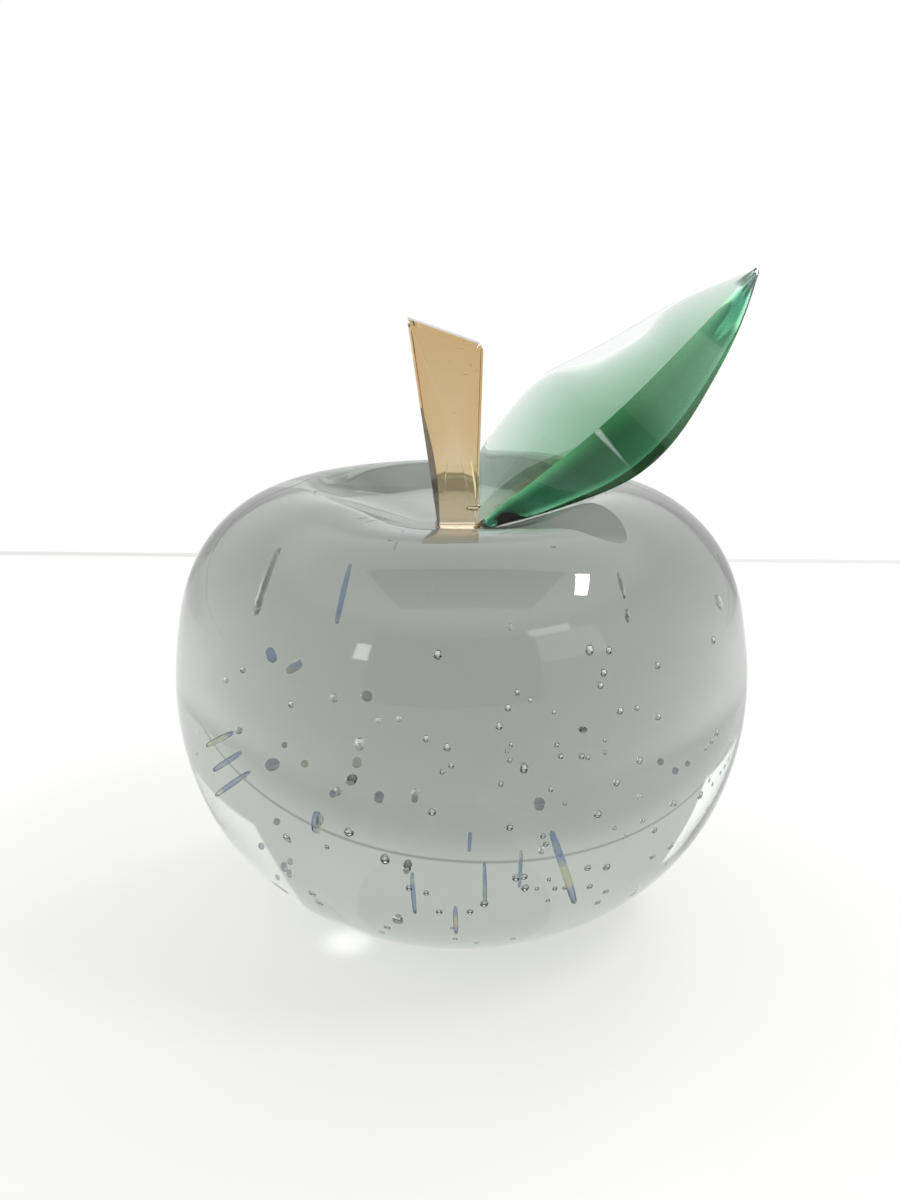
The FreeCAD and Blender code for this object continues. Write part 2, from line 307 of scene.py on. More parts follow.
# %% Seeds that show singly
# Across and down in pixels of the frame, depth in mm, radius in mm
seen_seeds = np.array([
    (392, 557, 22, 0.62), (321, 541, 30, 0.5), (331, 551, 30, 0.5), (341, 549, 30, 0.35),
    (349, 536, 20, 0.35),
    (438, 654, 12, 0.75), (367, 688, 40, 0.95), (710, 638, 9, 0.6), (656, 662, 14, 0.55), (589, 649, 12, 0.8),
    (608, 649, 12, 0.6), (603, 670, 12, 0.62), (600, 683, 12, 0.6), (620, 709, 14, 0.65), (637, 706, 14, 0.5),
    (658, 715, 16, 0.6), (554, 710, 12, 0.4), (517, 690, 12, 0.5), (508, 706, 12, 0.62), (499, 725, 12, 0.68),
    (378, 718, 25, 0.5), (399, 716, 25, 0.5), (426, 738, 14, 0.65), (447, 747, 14, 0.75), (451, 765, 14, 0.6),
    (442, 772, 10, 0.5), (511, 744, 10, 0.42), (507, 751, 10, 0.42), (510, 760, 10, 0.5), (524, 768, 10, 0.8),
    (501, 784, 10, 0.5), (557, 744, 12, 0.5), (561, 756, 12, 0.5), (551, 789, 12, 0.48), (565, 803, 12, 0.42),
    (540, 804, 45, 0.9), (432, 812, 12, 0.75), (414, 799, 35, 0.6), (378, 797, 45, 0.8), (359, 743, 25, 0.95),
    (356, 762, 40, 0.8), (304, 763, 40, 0.6), (272, 764, 55, 0.9), (332, 794, 30, 0.6), (284, 744, 40, 0.45),
    (605, 739, 14, 0.4), (605, 752, 12, 0.4), (588, 757, 12, 0.5), (640, 760, 16, 0.6), (617, 782, 14, 0.6),
    (598, 814, 12, 0.75), (640, 796, 20, 0.45), (662, 760, 40, 0.5), (677, 770, 40, 0.5), (689, 762, 40, 0.4),
    (385, 859, 10, 0.85), (426, 893, 10, 0.5), (409, 888, 8, 0.6), (516, 878, 8, 0.7), (524, 877, 8, 0.65),
    (543, 836, 10, 0.5), (546, 844, 10, 0.55), (525, 888, 8, 0.7), (537, 889, 8, 0.4), (549, 880, 8, 0.4),
    (588, 868, 8, 0.65), (607, 867, 8, 0.75), (590, 887, 8, 0.6), (606, 892, 8, 0.6), (598, 903, 8, 0.6),
    (555, 889, 6, 0.5), (565, 888, 6, 0.5), (548, 901, 6, 0.42), (470, 912, 6, 0.6), (439, 912, 8, 0.6),
    (484, 904, 8, 0.7), (716, 732, 7, 0.65), (711, 741, 7, 0.55), (705, 748, 7, 0.5), (722, 758, 5, 0.42),
    (728, 758, 5, 0.42), (724, 766, 5, 0.5), (720, 772, 5, 0.42), (709, 780, 6, 0.4), (712, 784, 6, 0.4),
    (700, 795, 7, 0.8), (707, 808, 6, 0.5), (671, 846, 7, 0.7), (666, 864, 7, 0.6), (655, 830, 12, 0.6),
    (643, 820, 20, 0.5), (615, 828, 14, 0.4), (625, 837, 20, 0.4), (320, 903, 6, 0.7), (318, 820, 30, 0.9),
    (349, 832, 12, 0.9), (327, 847, 8, 0.45), (291, 861, 35, 0.5), (285, 865, 35, 0.6), (290, 872, 35, 0.5),
    (278, 877, 30, 0.4), (262, 846, 35, 0.5), (277, 821, 40, 0.5), (382, 932, 5, 0.6), (455, 939, 5, 0.5),
    (476, 943, 5, 0.4), (513, 939, 5, 0.5), (437, 948, 4, 0.45),
])
seen_places = inside_place(seen_seeds[:, :2], seen_seeds[:, 2] * mm)
seed_scale = 0.85
seen_radii = seed_scale * seen_seeds[:, 3] * mm
print(len(seen_seeds), "seeds placed by sight")

# %% Seeds drawn at random, mostly low in the body and towards its skin
random = np.random.default_rng(7)
loose_count = 60
loose_lowest, loose_span, loose_sinking = 0.12, 1.25, 1.6
loose_widest, loose_outwards, loose_cover = 0.95, 0.4, 3 * mm
loose_least, loose_most = 0.25 * mm, 0.6 * mm
seed_stretch = 0.25
loose_turn = random.uniform(0, 2 * math.pi, loose_count)
loose_height = loose_lowest + loose_span * random.uniform(0, 1, loose_count) ** loose_sinking
loose_height = equator_height * loose_height
loose_share = loose_widest * random.uniform(0, 1, loose_count) ** loose_outwards
loose_radius = loose_share * (skin_radius(loose_height) - loose_cover)
loose_places = around(loose_radius, loose_turn, loose_height)
loose_sizes = random.uniform(loose_least, loose_most, loose_count)


def ball_shells(places, half_sizes, rows=6, columns=10):
    """Balls facing inwards: place plus the half sizes times the sine and cosine of two angles."""
    down = np.linspace(0, math.pi, rows + 1)[1:-1, None]
    ball = around(np.sin(down), full_turn(columns), np.cos(down))
    top = np.array([0, 0, 1.0])
    return [closed_tube(place + ball * half, place + top * half, place - top * half)
            for place, half in zip(places, half_sizes)]


off_axis, level = np.hypot(seen_places[:, 0], seen_places[:, 1]), seen_places[:, 2]
clear_of_skin = skin_radius(level) - off_axis > 1.2 * seen_radii
clear_of_skin &= (level > 1.3 * seen_radii) & (level < seat_height - 2 * seen_radii)
print("seeds inside the glass:", int(clear_of_skin.sum()), "of", len(seen_places))
seed_places = np.concatenate([seen_places[clear_of_skin], loose_places])
seed_sizes = np.concatenate([seen_radii[clear_of_skin], loose_sizes])
seed_heights = 1 + seed_stretch * random.uniform(0, 1, len(seed_sizes)) ** 2
round_seeds = ball_shells(seed_places, seed_sizes[:, None] * points_of(1, 1, seed_heights))

# %% [markdown]
# Streaks
#
# Where hot glass is pulled, a seed is drawn out into a streak. Each one runs between two places that
# are found by the line of sight like the seeds, as rings round a straight line. Their radius falls to
# nothing at both ends, by a low power of the distance, so the ends are blunt. A streak is a hole too,
# so it faces inwards.

# %% Streaks
# Two ends across and down in pixels of the frame, depth in mm, radius in mm
streaks = np.array([
    (551, 830, 575, 905, 12, 0.62), (206, 746, 234, 732, 8, 0.42), (213, 771, 242, 752, 8, 0.42),
    (215, 796, 251, 771, 8, 0.40), (317, 812, 316, 833, 20, 0.75), (349, 568, 336, 627, 22, 0.42),
    (412, 872, 415, 914, 8, 0.35), (455, 906, 456, 934, 6, 0.35), (484, 862, 485, 908, 8, 0.30),
    (521, 850, 519, 888, 10, 0.30), (470, 832, 469, 852, 12, 0.35), (396, 542, 390, 556, 20, 0.30),
    (269, 642, 276, 652, 40, 0.60), (288, 662, 302, 654, 40, 0.55),
])
streak_side = (0, 1, 0.3)
streak_bluntness = 0.22


def streak_shells(rows=8, columns=10):
    """Long drawn seeds, facing inwards: rings round the line between two places, round at both ends."""
    share = 0.5 - 0.5 * np.cos(np.linspace(0, math.pi, rows + 1))[1:-1]
    turn = full_turn(columns)
    starts = inside_place(streaks[:, :2], streaks[:, 4] * mm)
    ends = inside_place(streaks[:, 2:4], streaks[:, 4] * mm)
    shells = []
    for start, end, radius in zip(starts, ends, streaks[:, 5] * mm):
        along = unit(start - end)
        side = unit(np.cross(along, streak_side))
        other = np.cross(along, side)
        round_end = radius * (4 * share * (1 - share)) ** streak_bluntness
        ring = np.cos(turn)[:, None] * side + np.sin(turn)[:, None] * other
        grid = (start + share[:, None] * (end - start))[:, None] + round_end[:, None, None] * ring
        shells.append(closed_tube(grid, start, end))
    return shells

# %% [markdown]
# The body's skin
#
# The outline is turned about the axis. Hand work leaves it slightly out of round, a tenth of a
# millimetre in slow waves, which is enough to make the reflections and the lens image irregular. The
# dimple's rim dips towards the front, and the shoulder is a little fuller than its arcs.

# %% Skin
round_columns = 300
waviness, wave_fade = 0.12 * mm, 6 * mm
# Count round the axis, share, start and climb with the height, both in radians
skin_waves = ((2, 1.0, 1.1, 2.0), (3, 0.6, 0.0, 4.0), (5, 0.35, -2.3, 3.0))
shoulder_swell, shoulder_swell_height, shoulder_swell_reach = 0.8 * mm, 62 * mm, 8 * mm
front_dip = 2.3 * mm
front_dip_turn = math.radians(40)
front_dip_middle, front_dip_reach = 25 * mm, 9 * mm


def body_skin():
    """Outline turned about the axis: its radius changed by waves and a swell, its height by a dip."""
    turn = full_turn(round_columns)
    flat = np.linspace(0.25, 1, 8)[:, None] * np.array([[base_flat_radius - base_bevel, 0]])
    seat = np.linspace(1, 0.2, 6)[1:, None] * np.array([[dimple_seat_radius, 0]]) + [[0, seat_height]]
    line = np.concatenate([flat, outline, seat])
    radius, height = line[:, :1], line[:, 1:]
    rise = height / crest_height
    wave = sum(part * np.sin(a * turn + b + c * rise) for a, part, b, c in skin_waves)
    wave = wave * risen(height, 0, wave_fade) * risen(height, crest_height, crest_height - wave_fade)
    swell = np.exp(-((height - shoulder_swell_height) / shoulder_swell_reach) ** 2)
    off_front = np.angle(np.exp(1j * (turn + math.pi / 2)))
    dip = front_dip * np.exp(-(off_front / front_dip_turn) ** 4) * (height > equator_height)
    dip = dip * np.exp(-((radius - front_dip_middle) / front_dip_reach) ** 2)
    radius = radius + (waviness * wave + shoulder_swell * swell) * (radius > crest_radius)
    return closed_tube(around(radius, turn, height - dip), np.zeros(3), np.array([0, 0, seat_height]))


skin = body_skin()
long_seeds = streak_shells()
body = mesh_object("glass_body", join_shells([skin] + round_seeds + long_seeds), 30)

# %% [markdown]
# The walls of seeds and streaks
#
# The upper wall of a seed mirrors the bright ceiling, and a metal shader paints that reflection on it as
# silver; the wall of a streak shows faint colours. Both are as small as a pixel, where path tracing
# seldom finds them, so these faces get materials of their own. They are known by their order in the
# mesh: the quads of skin, seeds and streaks, and then the triangles that close the three, which are
# grey at a seed's poles.

# %% Which material a face has
cap_slope = 0.2
deep_seed = 28 * mm
plain, painted_reflection, coloured, grey = range(4)


def face_values(piece, name, width):
    """One property of all faces of a piece, with a row of numbers for each."""
    values = np.empty(len(piece.data.polygons) * width)
    piece.data.polygons.foreach_get(name, values)
    return values.reshape(-1, width)


def seed_parts(piece):
    """Material of each face: plain glass, a seed's top with a painted reflection, a coloured streak, a pole
    or a far seed.
    """
    first_seed = len(skin[1])
    first_streak = first_seed + sum(len(shell[1]) for shell in round_seeds)
    kind = np.full(len(piece.data.polygons), grey)
    kind[:first_seed] = plain
    # Faces on a seed's top get the painted reflection of the ceiling, a metal shader
    on_top = face_values(piece, "normal", 3)[first_seed:first_streak, 2] < -cap_slope
    deep = np.concatenate([seen_seeds[clear_of_skin, 2] * mm >= deep_seed, np.zeros(loose_count, bool)])
    deep = np.repeat(deep, len(round_seeds[0][1]))
    kind[first_seed:first_streak] = np.where(deep, grey, np.where(on_top, painted_reflection, plain))
    first_triangle = first_streak + sum(len(shell[1]) for shell in long_seeds)
    kind[first_streak:first_triangle] = coloured
    kind[first_triangle:first_triangle + len(skin[2])] = plain
    return kind


print("faces by material:", np.bincount(seed_parts(body)).tolist())

# %% [markdown]
# Tints kept on a mesh
#
# Coloured glass is darker where light runs through more of it. A ground edge and the leaf's lower half
# hold light longer than these plain forms do, so the rest of its way is kept on the mesh as a colour:
# e to the power of minus the depth, for each of the three channels.

# %% Tints kept on a mesh
def mesh_places(piece):
    """Places of a mesh's points, one row each."""
    places = np.empty(3 * len(piece.data.vertices))
    piece.data.vertices.foreach_get("co", places)
    return places.reshape(-1, 3)


def store_tint(piece, path, domain):
    """Stores a colour per point or face corner: what an absorption leaves of the light, per channel."""
    left = np.ones((len(path), 4))
    left[:, :3] = np.exp(-path)
    piece.data.color_attributes.new("tint", "FLOAT_COLOR", domain).data.foreach_set("color", left.ravel())

# %% [markdown]
# The stem
#
# The stem is a bar sawn and ground from amber glass, wider at its top, with a slanting end. Its
# outline seen from the front is carried through its depth, drawn in at the front and the back, which
# gives the bevels. The left front edge has a long facet, widest halfway down, and the foot is thinner
# at the back. Flat bubbles lie in the top, and one large one in the foot.

# %% Stem
stem_foot_width, stem_foot_depth = 6.8 * mm, 6.0 * mm
stem_top_width, stem_top_depth = 12.6 * mm, 7.4 * mm
stem_foot_offset, stem_top_offset = -0.6 * mm, -2.6 * mm
glue_thickness = 0.3 * mm
stem_foot_height = seat_height + glue_thickness
stem_high_corner = stem_foot_height + 34.7 * mm
stem_low_corner = stem_foot_height + 30.4 * mm
stem_facet_width = 1.15 * mm
stem_facet_start = stem_foot_height + 20 * mm
stem_heel_height, stem_heel_depth = 15 * mm, 2.8 * mm
stem_facet_depth = np.array([2.5, 2.3, 1.7])
stem_facet_slope, stem_facet_least = 0.35, 0.2 * mm ** 2
stem_top_bevel = 0.7 * mm
stem_edge_bevel = 0.35 * mm
stem_corner_round = 1.4 * mm
optical_contact = 0.02 * mm


def stem_side(height, side):
    """Place along X of the left (-1) or right (1) side at a height: both sides are straight."""
    share = (height - stem_foot_height) / (stem_high_corner - stem_foot_height)
    middle = stem_foot_offset + (stem_top_offset - stem_foot_offset) * share
    return middle + side * (stem_foot_width + (stem_top_width - stem_foot_width) * share) / 2

# %% Stem's outline from the front
def stem_front_outline(count):
    """Outline in X and Z: the foot, the left side, the slanting top, its worn corner, the right side."""
    foot = stem_foot_height - optical_contact
    left_foot = np.array([stem_side(foot, -1), foot])
    right_foot = np.array([stem_side(foot, 1), foot])
    high = np.array([stem_side(stem_high_corner, -1), stem_high_corner])
    low = np.array([stem_side(stem_low_corner, 1), stem_low_corner])
    slant, down = unit(low - high), unit(right_foot - low)
    tangent = stem_corner_round * math.tan(math.acos(slant @ down) / 2)
    worn = arc_points(low - slant * tangent, slant, low + down * tangent, 12)

    def run(start, end):
        return start + np.linspace(0, 1, count, endpoint=False)[:, None] * (end - start)

    return np.concatenate([run(right_foot, left_foot), run(left_foot, high), run(high, worn[0]), worn[:-1],
                           run(worn[-1], right_foot)])


def drawn_in(line, widths):
    """A closed outline moved inwards by one width, or by a width for each point, square to the line."""
    along = unit(np.roll(line, -1, axis=0) - line)
    along = along + np.roll(along, 1, axis=0)
    normal = points_of(along[:, 1], -along[:, 0])
    normal /= np.einsum("ij,ij->i", normal, normal)[:, None] / 2
    return line + normal * np.reshape(widths, (-1, 1))

# %% Stem's shell
stem_run_points, stem_side_reach = 36, 0.05 * mm


def stem_shell():
    """Rows through the depth: front drawn in, front, back, back drawn in, each the front outline."""
    line = drawn_in(stem_front_outline(stem_run_points), -optical_contact)
    across, height = line[:, 0], line[:, 1]
    share = (height - stem_foot_height) / (stem_high_corner - stem_foot_height)
    half = (stem_foot_depth + (stem_top_depth - stem_foot_depth) * share) / 2
    on_left, on_right = (np.abs(across - stem_side(height, side)) < stem_side_reach for side in (-1, 1))
    on_top = ~on_left & ~on_right & (height > stem_facet_start)
    facet = np.sin(math.pi * risen(height, stem_facet_start, stem_foot_height))
    facet = stem_edge_bevel + (stem_facet_width - stem_edge_bevel) * facet
    front = np.where(on_left, facet, np.where(on_top, stem_top_bevel, stem_edge_bevel))
    back = half - stem_heel_depth * risen(height, stem_foot_height + stem_heel_height, stem_foot_height)
    rows = [(drawn_in(line, front), -half), (line, front - half), (line, back - stem_edge_bevel),
            (drawn_in(line, stem_edge_bevel), back)]
    grid = np.stack([points_of(row[:, 0], depth, row[:, 1]) for row, depth in rows])
    return closed_tube(grid, grid[0].mean(0), grid[-1].mean(0))

# %% Stem with its bubbles
# Across, depth and height in mm, then half sizes in mm
stem_bubbles = np.array([
    (0, 0.5, 99.2, 0.34, 0.1, 0.07), (-1.9, 1, 96.9, 0.16, 0.1, 0.07), (1.6, 0, 96.4, 0.14, 0.1, 0.07),
    (2.6, 1.2, 95.5, 0.16, 0.12, 0.07), (0.7, -0.8, 94.9, 0.42, 0.1, 0.05), (3.2, 0.6, 94.8, 0.12, 0.1, 0.06),
    (3.2, -0.2, 92.8, 0.24, 0.1, 0.06), (3, 0.4, 90.1, 0.22, 0.1, 0.07), (-3.4, 0.2, 82.1, 0.1, 0.1, 0.08),
    (-1.2, 1.4, 88.4, 0.4, 0.08, 0.05), (2.2, 0.1, 72.1, 1.35, 0.45, 0.42),
]) * mm
stem_shells = [stem_shell()] + ball_shells(stem_bubbles[:, :3], stem_bubbles[:, 3:])
stem = mesh_object("amber_stem", join_shells(stem_shells), 12)

# %% Tint of the stem's ground edge
def stem_facet(piece):
    """Depth per face corner: none, but for the faces that are ground off along the left front edge."""
    normal = face_values(piece, "normal", 3)
    ground = (normal[:, 0] < -stem_facet_slope) & (normal[:, 1] < -stem_facet_slope)
    ground &= face_values(piece, "center", 3)[:, 2] < stem_facet_start
    ground &= face_values(piece, "area", 1)[:, 0] > stem_facet_least
    corners = face_values(piece, "loop_total", 1)[:, 0].astype(int)
    return np.repeat(ground, corners)[:, None] * stem_facet_depth


store_tint(stem, stem_facet(stem), "CORNER")

# %% [markdown]
# The leaf
#
# The leaf is a slab of green glass, ground flat at the back and cut at the front into two faces that
# meet in a ridge. It lies back by 60 degrees from upright, so from the front one looks down through
# its thin upper face to the table, and that face is pale. Light that enters the lower face is thrown
# back by the flat back and leaves upwards, a long way through the glass, and that face is dark. So the
# form gives both greens, with one colour of glass. The leaf is a lengthwise grid: its stations run
# from foot to tip, and smooth curves give the upper edge, the ridge and the lower edge along them.

# %% Sizes of the leaf
leaf_foot = np.array([2.3, -1.0, 68.25]) * mm
leaf_tip = np.array([48.5, -1.0, 111.6]) * mm
leaf_lean = math.radians(60)
leaf_upper_width, leaf_lower_width = 19.0 * mm, 18.0 * mm
leaf_ridge_height, leaf_ridge_share = 5.6 * mm, 0.56
leaf_edge_thickness = 0.35 * mm
leaf_rim_thickness = 0.1 * mm
leaf_band_width, leaf_band_middle, leaf_band_reach = 3.5 * mm, 0.61, 0.135
leaf_band_step = 0.5 * mm
leaf_crown_power = 0.8
leaf_lower_rim = 0.35 * mm
leaf_tip_size = 0.4 * mm
leaf_ridge_least = 0.8 * mm
leaf_stations = np.array([-0.06, 0.05, 0.16, 0.28, 0.40, 0.54, 0.70, 0.86, 1.0])
leaf_upper_shares = np.array([0.34, 0.59, 0.81, 0.95, 0.99, 0.79, 0.57, 0.34, 0.0])
leaf_lower_shares = np.array([0.02, 0.15, 0.43, 0.70, 0.91, 0.93, 0.71, 0.39, 0.0])

# %% Curves and directions of the leaf
def smooth_curve(places, values, at):
    """Natural cubic spline through values: its second derivatives solve one small linear system."""
    gap = np.diff(places)
    count = len(places)
    system, right = np.eye(count), np.zeros(count)
    inner = np.arange(1, count - 1)
    system[inner, inner - 1], system[inner, inner] = gap[:-1], 2 * (gap[:-1] + gap[1:])
    system[inner, inner + 1] = gap[1:]
    right[1:-1] = 6 * (np.diff(values)[1:] / gap[1:] - np.diff(values)[:-1] / gap[:-1])
    bend = np.linalg.solve(system, right)
    k = np.clip(np.searchsorted(places, at) - 1, 0, count - 2)
    a, b = places[k + 1] - at, at - places[k]
    before = (values[k] / gap[k] - bend[k] * gap[k] / 6) * a
    after = (values[k + 1] / gap[k] - bend[k + 1] * gap[k] / 6) * b
    return (bend[k] * a ** 3 + bend[k + 1] * b ** 3) / (6 * gap[k]) + before + after


def leaf_axes():
    """Unit vectors of the leaf: along to the tip, up its back, and out of its front."""
    along = unit(leaf_tip - leaf_foot)
    upright = np.array([-along[2], 0, along[0]])
    up_back = upright * math.cos(leaf_lean) + np.array([0, math.sin(leaf_lean), 0])
    outwards = upright * math.sin(leaf_lean) - np.array([0, math.cos(leaf_lean), 0])
    return along, up_back, outwards

# %% Leaf's surface
leaf_rows = 260
leaf_face_columns = 22
# Runs round the section: from corner, to corner, columns, power of the height's rise
leaf_runs = ((0, 1, 1, 1), (1, 2, 4, 1), (2, 3, 3, 1), (3, 4, leaf_face_columns, leaf_crown_power),
             (4, 5, leaf_face_columns, 1), (5, 6, 3, 1), (6, 0, 2 * leaf_face_columns, 1))
# Waves of the back: share, radians along the leaf and across it, start
leaf_waves = ((1.0, 24, 15, 0.0), (0.6, 11, -19, 1.3))
leaf_back_wave, leaf_wave_start, leaf_wave_full = 0.022 * mm, 0.22, 0.42


def leaf_grid():
    """Rows from foot to tip, columns round the section: rim, thin band, upper and lower face, back."""
    station = np.linspace(leaf_stations[0], 1, leaf_rows)
    upper = leaf_upper_width * smooth_curve(leaf_stations, leaf_upper_shares, station) + leaf_tip_size
    lower_share = smooth_curve(leaf_stations, leaf_lower_shares, station)
    lower = leaf_lower_width * lower_share
    ridge = leaf_ridge_height * lower_share + leaf_ridge_least
    band = leaf_band_width * np.exp(-((station - leaf_band_middle) / leaf_band_reach) ** 4)
    step = leaf_band_step * np.clip(upper / (4 * mm), 0, 1)
    end = lower + leaf_tip_size
    corners = [points_of(across, out) for across, out in (
        (upper, 0), (upper, leaf_rim_thickness), (upper - band, leaf_rim_thickness),
        (upper - band - step, leaf_edge_thickness), (-lower * leaf_ridge_share, ridge),
        (-end, np.minimum(leaf_lower_rim, ridge / 2)), (-end, 0))]
    columns = []
    for start, end, count, power in leaf_runs:
        share = np.linspace(0, 1, count, endpoint=False)[:, None]
        first, way = corners[start], corners[end] - corners[start]
        across, out = first[:, 0] + share * way[:, 0], first[:, 1] + share ** power * way[:, 1]
        if end == 0:
            waves = sum(part * np.sin(a * station + b * share + c) for part, a, b, c in leaf_waves)
            waves = waves * np.sin(math.pi * share) ** 2 * risen(station, leaf_wave_start, leaf_wave_full)
            out = out + leaf_back_wave * waves
        columns.append(points_of(across, out))
    section = np.concatenate(columns).transpose(1, 0, 2)
    along, up_back, outwards = leaf_axes()
    spine = leaf_foot + station[:, None] * (leaf_tip - leaf_foot)
    return spine[:, None] + section[..., :1] * up_back + section[..., 1:] * outwards

# %% [markdown]
# Fitting the leaf
#
# The leaf's end is ground to the dimple's wall and to the stem's side. A boolean cut with the body's
# outline and a block beside the stem does the same, as the wheel does on the real one.

# %% Fit the leaf to the dimple and the stem
def cut_away(piece, cutter):
    """Takes the cutter's solid away from the piece, for good, and deletes the cutter."""
    modifier = piece.modifiers.new("fit", "BOOLEAN")
    modifier.operation = "DIFFERENCE"
    modifier.solver = "EXACT"
    modifier.object = cutter
    bpy.context.view_layer.update()
    evaluated = piece.evaluated_get(bpy.context.evaluated_depsgraph_get())
    mesh = bpy.data.meshes.new_from_object(evaluated)
    piece.modifiers.clear()
    piece.data = mesh
    bpy.data.objects.remove(cutter)


cutter_columns, sharp_edge = 180, 12


def leaf_piece():
    """The leaf's grid closed to a solid, then cut by the dimple raised and the space of the stem."""
    grid = leaf_grid()
    leaf = mesh_object("green_leaf", closed_tube(grid, grid[0].mean(0), grid[-1].mean(0)), sharp_edge)
    gap = glue_thickness - optical_contact
    line = outline[outline[:, 1] > equator_height] + [[0, gap]]
    ring = around(line[:, :1], full_turn(cutter_columns), line[:, 1:])
    low, high = np.array([0, 0, line[0, 1]]), np.array([0, 0, line[-1, 1]])
    cut_away(leaf, mesh_object("dimple_cutter", closed_tube(ring, low, high), 30))
    foot, top = equator_height, stem_high_corner
    corners = np.array([(stem_side(foot, 1) + gap, foot), (stem_side(top, 1) + gap, top),
                        (-body_radius, top), (-body_radius, foot)])
    block = np.stack([points_of(corners[:, 0], y, corners[:, 1]) for y in (body_radius, -body_radius)])
    cut_away(leaf, mesh_object("stem_cutter", closed_tube(block, block[0].mean(0), block[1].mean(0)), 30))
    leaf.data.polygons.foreach_set("use_smooth", np.ones(len(leaf.data.polygons), bool))
    leaf.data.set_sharp_from_angle(angle=math.radians(sharp_edge))
    return leaf


leaf = leaf_piece()
print("leaf after fitting:", len(leaf.data.polygons), "faces")

# %% [markdown]
# The dark face and the grey tip
#
# The green of the lower face is deeper than one bounce at the back gives, most of all at the foot and
# near the tip, and the last of the tip is a small ground face that looks grey. Both are tints on the
# mesh, as shares that rise along the leaf and away from its ridge.

# %% Depth kept on the leaf
leaf_extra_depth = np.array([1.35, 0.8, 0.9])
leaf_full_share, leaf_rim_relief = 0.70, 0.7
leaf_foot_deeper, leaf_foot_range = 3.0, (0.58, 0.33)
leaf_end_deeper, leaf_end_range = 2.6, (0.77, 0.89)
leaf_grey_range, leaf_tip_depth = (0.93, 0.96), np.array([2.4, 2.1, 2.1])


def leaf_depth(piece):
    """Depth per point: rises from the ridge over the lower face, less at its rim; the tip is grey."""
    along, up_back, outwards = leaf_axes()
    reach = leaf_tip - leaf_foot
    away = mesh_places(piece) - leaf_foot
    station = away @ reach / (reach @ reach)
    away = away - station[:, None] * reach
    across, out = away @ up_back, away @ outwards
    lower = leaf_lower_width * smooth_curve(leaf_stations, leaf_lower_shares, np.clip(station, 0.05, 1))
    share = -across / (lower + leaf_tip_size)
    green = risen(share, leaf_ridge_share, leaf_full_share) * (out > 0.2 * mm)
    green = green * (1 - leaf_rim_relief * risen(share, 0.9, 0.95))
    at_foot, at_end = risen(station, *leaf_foot_range), risen(station, *leaf_end_range)
    green = green * (1 + leaf_foot_deeper * at_foot + leaf_end_deeper * at_end)
    tip = risen(station, *leaf_grey_range) * (across < 0.3 * mm)
    return (green * (1 - tip))[:, None] * leaf_extra_depth + tip[:, None] * leaf_tip_depth


store_tint(leaf, leaf_depth(leaf), "POINT")

# %% [markdown]
# Materials
#
# Solid glass gets its colour from depth: the surface is colourless, and the volume takes away light
# with every millimetre. So each glass here is a Principled surface with full transmission and an
# absorbing volume. The surface isn't perfect: handling leaves faint smears, which one node group makes
# for all of the glass, as a roughness and a height. The stem and the leaf also take the tint that is
# kept on their mesh.

# %% Node helpers
def add_node(tree, kind, inputs=None, **settings):
    """A new shader node with its settings; an input is given a value or joined to another's output."""
    node = tree.nodes.new("ShaderNode" + kind)
    for name, value in settings.items():
        setattr(node, name, value)
    for name, value in (inputs or {}).items():
        if isinstance(value, bpy.types.NodeSocket):
            tree.links.new(value, node.inputs[name])
        else:
            node.inputs[name].default_value = value
    return node


def worked(tree, operation, first, *others):
    """Output of Math nodes that work through numbers or sockets, one after another."""
    for other in others or (0.0,):
        first = add_node(tree, "Math", {0: first, 1: other}, operation=operation).outputs[0]
    return first


def times(tree, *parts):
    """Output of their product."""
    return worked(tree, "MULTIPLY", *parts)


def plus(tree, *parts):
    """Output of their sum."""
    return worked(tree, "ADD", *parts)


def minus(tree, first, second):
    """Output of their difference."""
    return worked(tree, "SUBTRACT", first, second)


def ramp(tree, value, start, end, low=0.0, high=1.0):
    """Output that goes smoothly from low to high while the value goes from start to end."""
    inputs = {"Value": value, "From Min": start, "From Max": end, "To Min": low, "To Max": high}
    return add_node(tree, "MapRange", inputs, interpolation_type="SMOOTHSTEP").outputs["Result"]


def blended(tree, factor, first, second):
    """Output colour between two colours by a factor."""
    mix = add_node(tree, "Mix", {"Factor": factor, "A": first, "B": second}, data_type="RGBA")
    return mix.outputs["Result"]

# %% Handling marks as a shared node group
def noise(tree, **inputs):
    """Value of noise on a piece's own coordinates."""
    place = add_node(tree, "TexCoord").outputs["Object"]
    return add_node(tree, "TexNoise", {"Vector": place, **inputs}).outputs["Fac"]


def handling_marks():
    """Node group: smears from distorted noise, out as a roughness in patches and as a height."""
    group = bpy.data.node_groups.new("handling marks", "ShaderNodeTree")
    for way, names in (("INPUT", ("Smear scale", "Roughness")), ("OUTPUT", ("Roughness", "Height"))):
        for name in names:
            group.interface.new_socket(name, in_out=way, socket_type="NodeSocketFloat")
    given, result = group.nodes.new("NodeGroupInput").outputs, group.nodes.new("NodeGroupOutput").inputs
    smear = noise(group, Scale=given["Smear scale"], Detail=3.0, Distortion=0.6)
    patches = times(group, ramp(group, smear, 0.52, 0.75), given["Roughness"])
    group.links.new(patches, result["Roughness"])
    group.links.new(smear, result["Height"])
    return group


marks = handling_marks()

# %% Glass
def clear_surface(name, ior, smear_scale, smear_roughness):
    """A clear surface with faint marks: its material, node tree, shader and the marks' outputs."""
    material = bpy.data.materials.new(name)
    material.use_nodes = True
    tree = material.node_tree
    surface = tree.nodes["Principled BSDF"]
    surface.inputs["IOR"].default_value = ior
    surface.inputs["Transmission Weight"].default_value = 1
    worn = add_node(tree, "Group", node_tree=marks)
    worn.inputs["Smear scale"].default_value = smear_scale
    worn.inputs["Roughness"].default_value = smear_roughness
    tree.links.new(worn.outputs["Roughness"], surface.inputs["Roughness"])
    return material, tree, surface, worn.outputs


